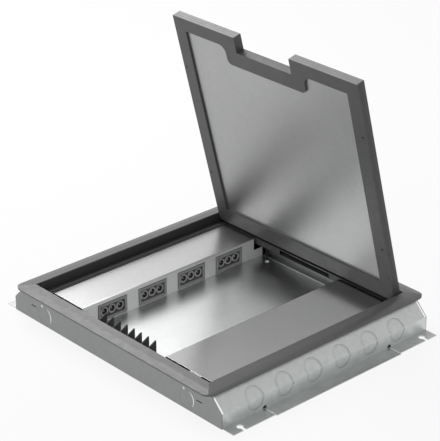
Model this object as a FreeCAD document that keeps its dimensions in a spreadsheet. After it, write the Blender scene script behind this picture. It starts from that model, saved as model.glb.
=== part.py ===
"""Raised-access floor socket box: a galvanised sheet box with two outlet
compartments, a ramped trim frame that stands on levelling screws, and a hinged
recessed lid with a cable outlet.  Millimetres.  X runs across the box, +Y is the
hinge side, -Y the cable outlet side, Z is up; the origin is the bottom centre.
The lid is shown open.
"""
import FreeCAD
import Part
import os
import re
import Sketcher

doc = FreeCAD.newDocument("floor_socket_box")
V = FreeCAD.Vector
sheet = doc.addObject("Spreadsheet::Sheet", "dims")

# name, value or formula of the names above it, note
DIMS = (
    # driving sizes
    ("lid_half", 303.5, "half width and half length of the lid"),
    ("lid_t", 23.0, "lid thickness"),
    ("lid_clear", 3.5, "clearance round the lid"),
    ("trim_w", 38.0, "width of the ramped trim"),
    ("trim_t", 3.0, "trim profile thickness"),
    ("ledge_w", 24.0, "width of the lid ledge"),
    ("ledge_z", 59.0, "lid ledge"),
    ("sheet_t", 2.0, "galvanised sheet of the outer box"),
    ("cover_t", 1.5, "sheet of the compartment covers"),
    ("fit_gap", 0.1, "working clearance"),
    ("open_deg", 75.4, "opening angle of the lid"),
    # trim and seat
    ("open_half", "lid_half + lid_clear", "lid opening"),
    ("trim_half", "open_half + trim_w", "outer edge of the trim"),
    ("trim_mid", "open_half + 0.53 * trim_w", "where the ramp eases off"),
    ("trim_corner_r", "0.63 * trim_w", "corner of the trim"),
    ("lid_z", "ledge_z + 2", "underside of the closed lid"),
    ("trim_top_z", "lid_z + lid_t + 0.4", "inner edge of the ramp"),
    ("trim_mid_z", "trim_top_z - 1.8", "where the ramp eases off"),
    ("trim_edge_z", "trim_top_z - 6.2", "top of the trim edge"),
    ("trim_low_z", "trim_edge_z - 3.7", "underside of the trim edge"),
    ("liner_t", 1.5, "black liner on the opening wall"),
    ("liner_top", "trim_top_z - 1.9", "top of the black liner"),
    ("ledge_in", "open_half - ledge_w", "inner edge of the ledge"),
    ("ledge_t", 1.5, "ledge, skirt and return thickness"),
    ("skirt_z", "ledge_z - 16", "bottom of the ledge skirt"),
    ("skirt_return", "open_half - 7", "outer edge of the skirt return"),
    ("window_half", 86.0, "window in the skirt on the hinge side"),
    ("keeper_y", "20 - open_half", "keeper hole in the left liner"),
    ("keeper_z", "ledge_z + 15", "keeper hole in the left liner"),
    ("keeper_r", 3.8, "keeper hole in the left liner"),
    ("key_leg", 30.0, "leg of a corner key"),
    ("key_t", 3.0, "corner key"),
    ("key_rise", 3.0, "corner key above the ledge"),
    ("seal_in", "ledge_in + 4", "inner edge of the lid seal"),
    ("seal_w", 9.0, "lid seal"),
    ("seal_t", "lid_z - ledge_z - 0.3", "lid seal"),
    ("comb_half", 89.0, "half width of the cable comb"),
    ("outlet_half", "comb_half + 3", "gap in the ledge at the cable outlet"),
    ("comb_front", "3 - open_half", "front of the cable comb"),
    ("comb_bar_back", "1 - ledge_in", "back of the comb bar"),
    ("comb_back", "12.5 - ledge_in", "tips of the cable comb"),
    ("comb_base_z", "ledge_z - 3", "top of the comb bar"),
    ("fin_t", 3.6, "comb fin"),
    ("fin_count", 8.0, "comb fins"),
    ("fin_tip_z", "liner_top", "comb fin at its tip"),
    ("fin_tip_w", 2.0, "blunt tip of a comb fin"),
    ("fin_front_z", "ledge_z + 7", "comb fin at the front"),
    ("hinge_y", "lid_half - 7.7", "hinge axis"),
    ("hinge_z", "lid_z + lid_t - 5.2", "hinge axis"),
    ("hinge_r", 3.0, "hinge pin"),
    ("hinge_in", "lid_half - 14.5", "inner end of a hinge pin"),
    # outer box
    ("web_x", "open_half + 60.2", "outer face of the lower side web"),
    ("foot_x", "web_x + 34.8", "outer edge of the end feet"),
    ("flange_x", "web_x + 38.8", "outer edge of the middle flange"),
    ("bend_z", 36.5, "height where the side web leans in"),
    ("wall_top_z", "trim_low_z - 1.5", "top of the side panels and end walls"),
    ("wall_y", "open_half + 18.6", "outer face of the end walls"),
    ("panel_gap", 4.6, "gap between the leaning wall and the end wall"),
    ("foot_split_y", "wall_y - 127.1", "slit between end foot and middle flange"),
    ("relief_r", 4.0, "relief hole at the root of the web"),
    ("slit_w", 1.2, "relief slit"),
    ("keyhole_x", "web_x + 18.8", "floor fixing keyhole centre"),
    ("keyhole_y", "wall_y - 35.6", "floor fixing keyhole centre"),
    ("keyhole_r", 7.0, "floor fixing keyhole"),
    ("keyhole_neck", 8.0, "open neck of the keyhole"),
    ("knock_r", 24.3, "cable knockout"),
    ("knock_slit", 1.3, "slit where the score breaks through"),
    ("knock_depth", 0.6, "a knockout is pressed in by this much"),
    ("knock_pitch", "0.2764 * wall_y", "pitch of the side knockouts"),
    ("knock_up", 7.5, "upper half of a side knockout, centre above the bend"),
    ("knock_down", 3.0, "lower half of a side knockout, centre below the bend"),
    ("end_knock_x", "web_x - 114.7", "end wall knockout centre"),
    ("end_knock_z", 27.0, "end wall knockout centre"),
    ("pry_r", 3.0, "pry hole beside a knockout"),
    ("latch_slot_x", "web_x - 73.2", "latch slot of the end wall"),
    ("latch_slot_z", 38.0, "latch slot of the end wall"),
    ("latch_slot_w", 18.0, "latch slot of the end wall"),
    ("latch_slot_h", 2.4, "latch slot of the end wall"),
    ("return_w", 15.0, "end wall return flanges"),
    # compartments and outlets
    ("cover_z", "ledge_z", "top of the compartment covers"),
    ("cover_out", "ledge_in - 3", "outer edge of both covers"),
    ("cover_front_y", "ledge_in - 9.5", "front end of the covers"),
    ("cover_half_y", "ledge_in - 5", "rear end of the covers"),
    ("cover_tab_x", 226.0, "tab at the front of the data cover"),
    ("cover_tab_w", 38.0, "tab at the front of the data cover"),
    ("power_face_x", -174.0, "socket face of the power compartment"),
    ("data_face_x", 123.0, "face of the data compartment"),
    ("cover_bend_r", "2 * cover_t", "outer bend radius of the covers"),
    ("cover_foot_w", 16.0, "foot of a cover face"),
    ("cable_port_w", 66.0, "cable port in the outer leg of a cover"),
    ("cable_port_h", 38.0, "cable port in the outer leg of a cover"),
    ("toe_z", 26.0, "low toe that carries the cover face to the end wall"),
    ("insert_pitch", "0.4417 * ledge_in", "pitch of the outlet inserts"),
    ("insert_mid_y", 4.5, "middle of the outlet row"),
    ("insert_z", 26.5, "outlet centre height"),
    ("bezel_w", 87.0, "bezel along the face"),
    ("bezel_h", 44.0, "bezel height"),
    ("bezel_t", 1.8, "bezel stands off the face"),
    ("window_w", 74.0, "bezel window"),
    ("window_h", 30.0, "bezel window"),
    ("collar_t", 1.8, "collar round the window, behind the bezel"),
    ("collar_d", 1.5, "collar behind the cover sheet"),
    ("block_d", 30.0, "socket block depth"),
    ("block_wall", 1.5, "socket block outside the bezel window"),
    ("socket_pitch", 24.0, "pitch of the round sockets"),
    ("socket_r", 8.4, "well of a round socket"),
    ("socket_depth", 14.0, "well of a round socket"),
    # levelling gear
    ("level_x", 142.0, "levelling screws"),
    ("level_y", "ledge_in + 11", "levelling screws"),
    ("level_r", 2.5, "levelling screw"),
    ("level_top", "skirt_z + 12", "top of the levelling screws"),
    ("level_foot_r", 5.6, "hexagon foot of a levelling screw, across corners, half"),
    ("level_foot_h", 3.0, "foot of a levelling screw"),
    ("level_nut_r", 5.0, "levelling nut across corners, half"),
    ("level_nut_h", 4.0, "levelling nut"),
    # lid
    ("lid_rim", 3.0, "rim round the flooring recess"),
    ("lid_base", 10.0, "depth of the lid frame below the recess"),
    ("lid_rear_bar", 19.5, "solid bar at the hinge edge"),
    ("notch_half", 90.5, "cable notch"),
    ("notch_d", 41.0, "cable notch depth"),
    ("plate_open_x", "lid_half - 36.5", "plate opening"),
    ("plate_open_rear", "lid_half - 43.5", "plate opening, hinge side"),
    ("plate_open_free", "34.5 - lid_half", "plate opening, free side"),
    ("plate_step_y", "81.5 - lid_half", "plate opening behind the notch"),
    ("plate_step_half", "notch_half + 39.5", "plate opening behind the notch"),
    ("step_flare_r", 22.0, "flared corner of the opening"),
    ("step_corner_r", 14.0, "inner corner of the opening"),
    ("plate_depth", 5.0, "plate sits this far above the underside"),
    ("plate_t", 1.5, "reinforcing plate"),
    ("plate_lap", 5.0, "plate laps the frame"),
    ("plate_gap", 0.4, "clearance round the plate and the board"),
    ("pan_t", 1.5, "flooring pan"),
    ("edge_groove", 1.0, "extruded lines round the lid edge"),
    ("edge_groove_d", 0.6, "depth of the extruded lines"),
    ("edge_line_low", 6.4, "lower extruded line above the underside"),
    ("edge_line_high", 12.0, "upper extruded line above the underside"),
    ("lid_screw_x", "lid_half - 10", "lid frame screws"),
    ("lid_screw_rear", "lid_half / 2 + 0.75", "lid frame screws"),
    ("lid_screw_free", "-lid_half / 2 - 9.75", "lid frame screws"),
    ("lid_screw_r", 3.0, "countersunk screw"),
    ("lid_screw_l", 7.4, "countersunk screw"),
    ("lid_screw_drop", 0.3, "screw head below the frame face"),
)
for row, (name, value, note) in enumerate(DIMS, start=1):
    sheet.set("A%d" % row, name)
    sheet.set("B%d" % row, "=" + value if isinstance(value, str) else str(value))
    sheet.set("C%d" % row, note)
    sheet.setAlias("B%d" % row, name)
doc.recompute()
SIZE = {name: float(sheet.get(name)) for name, _, _ in DIMS}


def bind(obj, prop, text):
    """Bind one property to an expression of the sheet's names."""
    text = str(text)
    full = re.sub(r"[A-Za-z_]\w*",
                  lambda m: "dims." + m.group(0) if m.group(0) in SIZE else m.group(0),
                  text)
    obj.setExpression(prop, full)


def box(name, x0, x1, y0, y1, z0, z1):
    """A block between two opposite corners."""
    b = doc.addObject("Part::Box", name)
    bind(b, "Length", "(%s) - (%s)" % (x1, x0))
    bind(b, "Width", "(%s) - (%s)" % (y1, y0))
    bind(b, "Height", "(%s) - (%s)" % (z1, z0))
    for axis, text in zip("xyz", (x0, y0, z0)):
        bind(b, "Placement.Base." + axis, text)
    return b


TURN = {"z": (V(0, 0, 1), 0.0), "x": (V(0, 1, 0), 90.0), "y": (V(1, 0, 0), -90.0)}


def cyl(name, r, length, x, y, z, axis="z", arc=None, turn=None):
    """A cylinder that starts at a point and runs along +axis."""
    c = doc.addObject("Part::Cylinder", name)
    bind(c, "Radius", r)
    bind(c, "Height", length)
    if arc is not None:
        bind(c, "Angle", arc)
    way, angle = turn if turn else TURN[axis]
    c.Placement = FreeCAD.Placement(V(0, 0, 0), FreeCAD.Rotation(way, angle))
    for ax, text in zip("xyz", (x, y, z)):
        bind(c, "Placement.Base." + ax, text)
    return c


def hexagon(name, r, height, x, y, z):
    """An upright hexagonal prism, r to its corners."""
    h = doc.addObject("Part::Prism", name)
    h.Polygon = 6
    bind(h, "Circumradius", r)
    bind(h, "Height", height)
    for axis, text in zip("xyz", (x, y, z)):
        bind(h, "Placement.Base." + axis, text)
    return h


def fuse(name, parts):
    f = doc.addObject("Part::MultiFuse", name)
    f.Shapes = parts
    f.Refine = True
    return f


def cut(name, base, tools):
    c = doc.addObject("Part::Cut", name)
    c.Base = base
    c.Tool = tools[0] if len(tools) == 1 else fuse(name + "_tools", tools)
    c.Refine = True
    return c


def common(name, a, b):
    c = doc.addObject("Part::MultiCommon", name)
    c.Shapes = [a, b]
    c.Refine = True
    return c


def ring(name, outer, inner, z0, z1):
    """A square ring centred on the origin."""
    neg = ["-(%s)" % outer, "-(%s)" % inner]
    return cut(name, box(name + "_o", neg[0], outer, neg[0], outer, z0, z1),
               [box(name + "_i", neg[1], inner, neg[1], inner, z0 + " - 1", z1 + " + 1")])


def rounded(name, x0, x1, y0, y1, z0, z1, r):
    """An upright block with four rounded corners."""
    parts = [box(name + "_a", "(%s) + (%s)" % (x0, r), "(%s) - (%s)" % (x1, r), y0, y1, z0, z1),
             box(name + "_b", x0, x1, "(%s) + (%s)" % (y0, r), "(%s) - (%s)" % (y1, r), z0, z1)]
    for i, (xe, sx) in enumerate(((x0, "+"), (x1, "-"))):
        for j, (ye, sy) in enumerate(((y0, "+"), (y1, "-"))):
            parts.append(cyl("%s_c%d%d" % (name, i, j), r, "(%s) - (%s)" % (z1, z0),
                             "(%s) %s (%s)" % (xe, sx, r), "(%s) %s (%s)" % (ye, sy, r), z0))
    return fuse(name, parts)


def outline(name, points, plane, start, length):
    """Extrude a closed polygon.  plane XZ runs along +Y, XY along +Z, YZ along +X."""
    s = doc.addObject("Sketcher::SketchObject", name + "_sketch")
    turn = {"XY": FreeCAD.Rotation(0, 0, 0),
            "XZ": FreeCAD.Rotation(V(1, 0, 0), 90),
            "YZ": FreeCAD.Rotation(V(0.57735, 0.57735, 0.57735), 120)}[plane]
    s.Placement = FreeCAD.Placement(V(0, 0, 0), turn)
    along = {"XY": "z", "XZ": "y", "YZ": "x"}[plane]
    bind(s, "Placement.Base." + along, start)
    n = len(points)
    value = [tuple(eval_number(t) for t in p) for p in points]
    for i in range(n):
        a, b = value[i], value[(i + 1) % n]
        s.addGeometry(Part.LineSegment(V(a[0], a[1], 0), V(b[0], b[1], 0)), False)
    for i in range(n):
        s.addConstraint(Sketcher.Constraint("Coincident", i, 2, (i + 1) % n, 1))
    for i, (px, py) in enumerate(points):
        for kind, text, val in (("DistanceX", px, value[i][0]), ("DistanceY", py, value[i][1])):
            k = s.addConstraint(Sketcher.Constraint(kind, -1, 1, i, 1, val))
            s.renameConstraint(k, "%s%d" % (kind[-1].lower(), i))
            bind(s, "Constraints.%s%d" % (kind[-1].lower(), i), text)
    e = doc.addObject("Part::Extrusion", name)
    e.Base = s
    e.DirMode = "Custom"
    e.Dir = {"XY": V(0, 0, 1), "XZ": V(0, 1, 0), "YZ": V(1, 0, 0)}[plane]
    e.Solid = True
    bind(e, "LengthFwd", length)
    return e


def eval_number(text):
    """First value of a sketch coordinate: a sum of signed terms, each a product."""
    total = 0.0
    for sign, term in re.findall(r"([+-]?)\s*([\w.]+(?:\s*\*\s*[\w.]+)*)", str(text)):
        product = -1.0 if sign == "-" else 1.0
        for factor in re.split(r"\s*\*\s*", term):
            product *= SIZE[factor] if factor in SIZE else float(factor)
        total += product
    return total


def mirror_x(name, source):
    m = doc.addObject("Part::Mirroring", name)
    m.Source = source
    m.Normal = V(1, 0, 0)
    m.Base = V(0, 0, 0)
    return m


def mirror_y(name, source):
    m = doc.addObject("Part::Mirroring", name)
    m.Source = source
    m.Normal = V(0, 1, 0)
    m.Base = V(0, 0, 0)
    return m


NODES = []


def node(obj, label):
    obj.Label = label
    NODES.append(obj)
    return obj


def group(solids, label):
    """Several like pieces that make one node."""
    c = doc.addObject("Part::Compound", label + "_body")
    c.Links = solids
    return node(c, label)


SIDES = (("p", "", 1), ("n", "-", -1))

# ---- outer box ------------------------------------------------------------
node(box("base_tray_body", "-(web_x - sheet_t)", "web_x - sheet_t",
         "-(wall_y - sheet_t)", "wall_y - sheet_t", "0", "sheet_t"), "base_tray")

# side panel: flange, upright web and a slope at 45 degrees, all one bent sheet
slope = "0.7071 * sheet_t"
profile = outline("side_profile",
                  [("web_x - sheet_t", "0"), ("flange_x", "0"), ("flange_x", "sheet_t"),
                   ("web_x", "sheet_t"), ("web_x", "bend_z"),
                   ("web_x + bend_z - wall_top_z", "wall_top_z"),
                   ("web_x + bend_z - wall_top_z - 0.7071 * sheet_t",
                    "wall_top_z - 0.7071 * sheet_t"),
                   ("web_x - sheet_t", "bend_z - 0.4142 * sheet_t")],
                  "XZ", "-(wall_y - sheet_t)", "2 * (wall_y - sheet_t)")
panel_tools = []
for tag, sign, _ in SIDES:
    end = "%s(wall_y - sheet_t)" % sign
    inner = "%s(wall_y - sheet_t - panel_gap)" % sign
    lo, hi = (inner, end + " + 1") if sign == "" else (end + " - 1", inner)
    panel_tools.append(box("panel_gap_" + tag, "open_half", "web_x + 1", lo, hi, "bend_z", "wall_top_z + 1"))
    lo, hi = ("foot_split_y", "wall_y") if sign == "" else ("-wall_y", "-foot_split_y")
    panel_tools.append(box("foot_trim_" + tag, "foot_x", "flange_x + 1", lo, hi, "-1", "sheet_t + 1"))
    panel_tools.append(box("foot_slit_" + tag, "web_x - 0.5", "flange_x + 1",
                           "%sfoot_split_y - slit_w / 2" % sign,
                           "%sfoot_split_y + slit_w / 2" % sign, "-1", "sheet_t + 1"))
    panel_tools.append(cyl("relief_" + tag, "relief_r", "3 * sheet_t", "web_x - 2 * sheet_t",
                           "%sfoot_split_y" % sign, "sheet_t + 1.5", "x"))
    panel_tools.append(cyl("keyhole_" + tag, "keyhole_r", "sheet_t + 2", "keyhole_x",
                           "%skeyhole_y" % sign, "-1"))
    panel_tools.append(box("keyhole_neck_" + tag, "keyhole_x", "flange_x + 1",
                           "%skeyhole_y - keyhole_neck / 2" % sign,
                           "%skeyhole_y + keyhole_neck / 2" % sign, "-1", "sheet_t + 1"))
# cable knockouts are pressed across the bend: one half on the slope, one on the web
LEAN = (V(0, 1, 0), 45.0)
for i in range(6):
    y = "(%g) * knock_pitch" % (i - 2.5)
    x = "web_x - 0.7071 * knock_up - 0.7071 * knock_depth"
    z = "bend_z + 0.7071 * knock_up - 0.7071 * knock_depth"
    panel_tools.append(common("side_knock_up_%d" % i,
                              cyl("side_knock_disc_%d" % i, "knock_r", "4", x, y, z, turn=LEAN),
                              box("side_knock_room_%d" % i, "web_x - 60", "web_x + 4",
                                  y + " - knock_r - 1", y + " + knock_r + 1", "bend_z", "bend_z + 40")))
    panel_tools.append(common("side_knock_low_%d" % i,
                              cyl("side_knock_web_%d" % i, "knock_r", "4", "web_x - knock_depth", y,
                                  "bend_z - knock_down", "x"),
                              box("side_knock_below_%d" % i, "web_x - 2", "web_x + 4",
                                  y + " - knock_r - 1", y + " + knock_r + 1", "bend_z - 40", "bend_z")))
right_panel = node(cut("right_side_panel_body", profile, panel_tools), "right_side_panel")
node(mirror_x("left_side_panel_body", right_panel), "left_side_panel")

# end wall: follows the slope of the side panels, returns inside at foot and ends
face = outline("end_face",
               [("-web_x + 0.4", "0"), ("web_x - 0.4", "0"), ("web_x - 0.4", "bend_z - 0.2"),
                ("web_x + bend_z - wall_top_z - 0.4", "wall_top_z - 0.2"),
                ("-web_x - bend_z + wall_top_z + 0.4", "wall_top_z - 0.2"),
                ("-web_x + 0.4", "bend_z - 0.2")],
               "XZ", "-wall_y", "sheet_t")
wall_parts = [face, box("end_foot", "-web_x + 24", "web_x - 24", "-wall_y + sheet_t",
                        "-wall_y + sheet_t + return_w", "sheet_t", "1.75 * sheet_t")]
for tag, sign, _ in SIDES:
    lo, hi = ("web_x - 2 * sheet_t", "web_x - sheet_t") if sign == "" else \
        ("-web_x + sheet_t", "-web_x + 2 * sheet_t")
    wall_parts.append(box("end_return_" + tag, lo, hi, "-wall_y + sheet_t",
                          "-wall_y + sheet_t + return_w", "1.75 * sheet_t", "bend_z - 5"))
wall_tools = []
for tag, sign, side in SIDES:
    kx = "%send_knock_x" % sign
    # the score of a knockout breaks through as a slit round its +X side
    slit = common("end_slit_" + tag,
                  cut("end_slit_ring_" + tag,
                      cyl("end_slit_o_" + tag, "knock_r", "sheet_t + 2", kx, "-wall_y - 1",
                          "end_knock_z", "y"),
                      [cyl("end_slit_i_" + tag, "knock_r - knock_slit", "sheet_t + 4", kx,
                           "-wall_y - 2", "end_knock_z", "y")]),
                  box("end_slit_box_" + tag, kx + " + 8", kx + " + knock_r + 1", "-wall_y - 1",
                      "-wall_y + sheet_t + 1", "end_knock_z - 15", "end_knock_z + knock_r + 1"))
    wall_tools.append(slit)
    wall_tools.append(cyl("pry_" + tag, "pry_r", "sheet_t + 2", kx + " - 9", "-wall_y - 1",
                          "end_knock_z + knock_r - 1.5", "y"))
    wall_tools.append(box("latch_slot_" + tag, "%slatch_slot_x - latch_slot_w / 2" % sign,
                          "%slatch_slot_x + latch_slot_w / 2" % sign, "-wall_y - 1",
                          "-wall_y + sheet_t + 1", "latch_slot_z - latch_slot_h / 2",
                          "latch_slot_z + latch_slot_h / 2"))
wall_blank = fuse("end_wall_blank", wall_parts)
front_wall = node(cut("front_end_wall_body", wall_blank, wall_tools), "front_end_wall")
node(mirror_y("rear_end_wall_body", front_wall), "rear_end_wall")


# ---- compartments ---------------------------------------------------------
def cover(name, face_x, side):
    """Inverted channel of thin sheet; the face toward the well carries the outlets.
    side is -1 for the power compartment at -X and 1 for the data compartment."""
    def span(a, b):
        return (a, b) if side > 0 else (b, a)
    out = "cover_out" if side > 0 else "-cover_out"
    s = "+" if side > 0 else "-"
    front, rear = "-cover_front_y", "cover_half_y"
    length = "cover_front_y + cover_half_y"
    lo, hi = span("%s %s cover_bend_r" % (face_x, s), out)
    parts = [box(name + "_top", lo, hi, front, rear, "cover_z - cover_t", "cover_z")]
    lo, hi = span(face_x, "%s %s cover_t" % (face_x, s))
    parts.append(box(name + "_face", lo, hi, front, rear, "sheet_t", "cover_z - cover_bend_r"))
    parts.append(box(name + "_toe", lo, hi, "-(wall_y - sheet_t - return_w - 1)",
                     "wall_y - sheet_t - return_w - 1", "sheet_t", "toe_z"))
    tube = cut(name + "_bend_tube",
               cyl(name + "_bend_o", "cover_bend_r", length, "%s %s cover_bend_r" % (face_x, s),
                   front, "cover_z - cover_bend_r", "y"),
               [cyl(name + "_bend_i", "cover_bend_r - cover_t", length + " + 2",
                    "%s %s cover_bend_r" % (face_x, s), front + " - 1",
                    "cover_z - cover_bend_r", "y")])
    lo, hi = span(face_x, "%s %s cover_bend_r" % (face_x, s))
    parts.append(common(name + "_bend", tube,
                        box(name + "_bend_box", lo, hi, front, rear,
                            "cover_z - cover_bend_r", "cover_z")))
    lo, hi = span("%s %s 1" % (face_x, s), "%s %s cover_foot_w" % (face_x, s))
    parts.append(box(name + "_foot", lo, hi, front, rear, "sheet_t", "sheet_t + cover_t"))
    lo, hi = span("%s - %d * cover_t" % (out, side), out)
    parts.append(box(name + "_leg", lo, hi, front, rear, "sheet_t", "cover_z - cover_t / 2"))
    if side > 0:
        parts.append(box(name + "_tab", "cover_tab_x - cover_tab_w / 2", "cover_tab_x + cover_tab_w / 2",
                         front + " - 6", front + " + 2", "cover_z - 2 * cover_t", "cover_z - cover_t"))
    tools = []
    for i in range(6):
        mid = "(%g) * knock_pitch" % (i - 2.5)
        lo, hi = span("%s - %d * 4" % (out, side), "%s + %d * 2" % (out, side))
        tools.append(box("%s_port%d" % (name, i), lo, hi, "%s - cable_port_w / 2" % mid,
                         "%s + cable_port_w / 2" % mid, "sheet_t + 6", "sheet_t + 6 + cable_port_h"))
    for i in range(4):
        mid = "insert_mid_y + (%g) * insert_pitch" % (i - 1.5)
        lo, hi = span("%s - %d * 2" % (face_x, side), "%s + %d * 4" % (face_x, side))
        tools.append(box("%s_cutout%d" % (name, i), lo, hi, "%s - window_w / 2 - 2" % mid,
                         "%s + window_w / 2 + 2" % mid, "insert_z - window_h / 2 - 2",
                         "insert_z + window_h / 2 + 2"))
    return cut(name + "_body", fuse(name + "_blank", parts), tools)


node(cover("power_cover", "power_face_x", -1), "power_compartment_cover")
node(cover("data_cover", "data_face_x", 1), "data_compartment_cover")

blocks = []
for i in range(4):
    mid = "insert_mid_y + (%g) * insert_pitch" % (i - 1.5)
    n = i + 1
    wx0, wx1 = mid + " - window_w / 2", mid + " + window_w / 2"
    wz0, wz1 = "insert_z - window_h / 2", "insert_z + window_h / 2"
    # bezel frame with a collar that passes through the sheet
    flange = box("bezel%d_flange" % n, "power_face_x", "power_face_x + bezel_t",
                 mid + " - bezel_w / 2", mid + " + bezel_w / 2",
                 "insert_z - bezel_h / 2", "insert_z + bezel_h / 2")
    collar = box("bezel%d_collar" % n, "power_face_x - cover_t - collar_d", "power_face_x",
                 wx0 + " - collar_t", wx1 + " + collar_t", wz0 + " - collar_t", wz1 + " + collar_t")
    opening = box("bezel%d_open" % n, "power_face_x - cover_t - collar_d - 1",
                  "power_face_x + bezel_t + 1", wx0, wx1, wz0, wz1)
    node(cut("bezel%d_body" % n, fuse("bezel%d_blank" % n, [flange, collar]), [opening]),
         "socket_bezel_%d" % n)
    # socket block behind the collar, with three round wells
    rim = "power_face_x - cover_t - collar_d"
    wells = [cyl("well_%d_%d" % (n, k), "socket_r", "socket_depth + 1", rim + " - socket_depth",
                 "%s + (%d) * socket_pitch" % (mid, k - 1), "insert_z", "x") for k in range(3)]
    blocks.append(cut("block%d_body" % n,
                      box("block%d_core" % n, rim + " - block_d", rim, wx0 + " - block_wall",
                          wx1 + " + block_wall", wz0 + " - block_wall", wz1 + " + block_wall"),
                      wells))
    # blanking plate of the data compartment, a plate with a snap-in collar
    plate = box("blank%d_flange" % n, "data_face_x - bezel_t", "data_face_x",
                mid + " - bezel_w / 2", mid + " + bezel_w / 2",
                "insert_z - bezel_h / 2", "insert_z + bezel_h / 2")
    plug = box("blank%d_plug" % n, "data_face_x", "data_face_x + cover_t + 2 * collar_d",
               wx0 + " - collar_t", wx1 + " + collar_t", wz0 + " - collar_t", wz1 + " + collar_t")
    hollow = box("blank%d_hollow" % n, "data_face_x + 1", "data_face_x + cover_t + 3 * collar_d",
                 wx0, wx1, wz0, wz1)
    node(cut("blank%d_body" % n, fuse("blank%d_blank" % n, [plate, plug]), [hollow]),
         "blanking_plate_%d" % n)

group(blocks, "socket_blocks")

# levelling screws stand on the tray; the frame rests on their nuts
screws, feet, nuts = [], [], []
for tag, sx, _ in SIDES:
    for end, sy, _ in SIDES:
        lx, ly = sx + "level_x", sy + "level_y"
        key = tag + end
        screws.append(cyl("level_screw_" + key, "level_r", "level_top - sheet_t - level_foot_h",
                          lx, ly, "sheet_t + level_foot_h"))
        feet.append(hexagon("level_foot_" + key, "level_foot_r", "level_foot_h", lx, ly, "sheet_t"))
        h = hexagon("level_hex_" + key, "level_nut_r", "level_nut_h", lx, ly,
                    "skirt_z - level_nut_h - fit_gap")
        nuts.append(cut("level_nut_" + key, h,
                        [cyl("level_nut_bore_" + key, "level_r + fit_gap / 2", "level_nut_h + 2",
                             lx, ly, "skirt_z - level_nut_h - 1")]))
group(screws, "levelling_screws")
group(feet, "levelling_feet")
group(nuts, "levelling_nuts")

# ---- frame ----------------------------------------------------------------
# ramp: a low frustum hollowed from below, with the opening wall hanging inside
edge = rounded("trim_edge", "-trim_half", "trim_half", "-trim_half", "trim_half",
               "trim_low_z", "trim_top_z + 1", "trim_corner_r")


def frustum(name, low, high, z0, z1):
    w = doc.addObject("Part::Wedge", name)
    for prop, text in (("Xmin", "-(%s)" % low), ("Xmax", low), ("Zmin", "-(%s)" % low),
                       ("Zmax", low), ("Ymin", "0"), ("Ymax", "(%s) - (%s)" % (z1, z0)),
                       ("X2min", "-(%s)" % high), ("X2max", high), ("Z2min", "-(%s)" % high),
                       ("Z2max", high)):
        bind(w, prop, text)
    w.Placement = FreeCAD.Placement(V(0, 0, 0), FreeCAD.Rotation(V(1, 0, 0), 90))
    bind(w, "Placement.Base.z", z0)
    return w


ramp_blank = fuse("ramp_blank", [
    box("ramp_low", "-trim_half", "trim_half", "-trim_half", "trim_half", "trim_low_z",
        "trim_edge_z"),
    frustum("ramp_outer", "trim_half", "trim_mid", "trim_edge_z", "trim_mid_z"),
    frustum("ramp_inner", "trim_mid", "open_half", "trim_mid_z", "trim_top_z")])
ramp_round = common("ramp_round", ramp_blank, edge)
ramp_hollow = cut("ramp_shell", ramp_round, [
    frustum("ramp_under", "trim_half - trim_t", "open_half + trim_t", "trim_low_z - 1",
            "trim_top_z - trim_t + 0.6"),
    box("ramp_open", "-open_half", "open_half", "-open_half", "open_half", "trim_low_z - 2",
        "trim_top_z + 2")])
upstand = ring("upstand", "open_half + trim_t", "open_half", "ledge_z - ledge_t",
               "trim_top_z - 1")
trim_ring = fuse("trim_ring", [ramp_hollow, upstand])
# the ring is mitred into four rails
for label, ends in (("trim_rail_front", ((-1, -1), (1, -1))), ("trim_rail_right", ((1, -1), (1, 1))),
                    ("trim_rail_rear", ((1, 1), (-1, 1))), ("trim_rail_left", ((-1, 1), (-1, -1)))):
    corners = [("%g * trim_half" % (1.2 * a), "%g * trim_half" % (1.2 * b)) for a, b in ends]
    sector = outline(label + "_sector", [("0", "0")] + corners, "XY", "skirt_z",
                     "trim_top_z - skirt_z + 1")
    node(common(label + "_body", trim_ring, sector), label)

keys = []
for tag, sx, a in SIDES:
    for end, sy, b in SIDES:
        base = "open_half + trim_t"

        def lohi(sign, low, high):
            return (low, high) if sign == "" else ("-(%s)" % high, "-(%s)" % low)
        x0, x1 = lohi(sx, base + " - key_leg", base + " + key_t")
        y0, y1 = lohi(sy, base, base + " + key_t")
        leg_a = box("key_a_" + tag + end, x0, x1, y0, y1, "ledge_z + key_rise", "trim_low_z - 1")
        x0, x1 = lohi(sx, base, base + " + key_t")
        y0, y1 = lohi(sy, base + " - key_leg", base + " + key_t")
        leg_b = box("key_b_" + tag + end, x0, x1, y0, y1, "ledge_z + key_rise", "trim_low_z - 1")
        keys.append(fuse("key_" + tag + end, [leg_a, leg_b]))
group(keys, "corner_keys")

# black ledge profile: liner, ledge, skirt and bottom return
ledge = fuse("ledge_blank", [
    ring("liner", "open_half", "open_half - liner_t", "ledge_z - ledge_t", "liner_top"),
    ring("ledge_top", "open_half", "ledge_in", "ledge_z - ledge_t", "ledge_z"),
    ring("ledge_skirt", "ledge_in + ledge_t", "ledge_in", "skirt_z", "ledge_z"),
    ring("ledge_return", "skirt_return", "ledge_in", "skirt_z", "skirt_z + ledge_t")])
ledge_tools = [
    box("outlet_gap", "-outlet_half", "outlet_half", "-(open_half - liner_t)", "-ledge_in + 1",
        "skirt_z + ledge_t", "ledge_z + 1"),
    box("skirt_window", "-window_half", "window_half", "ledge_in - 1", "ledge_in + ledge_t + 1",
        "skirt_z + ledge_t", "ledge_z - ledge_t"),
    cyl("liner_pin_hole", "hinge_r + fit_gap / 2", "2 * open_half + 2", "-open_half - 1", "hinge_y",
        "hinge_z", "x"),
    cyl("liner_keeper_hole", "keeper_r", "liner_t + 2", "-open_half - 1", "keeper_y", "keeper_z",
        "x")]
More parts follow.
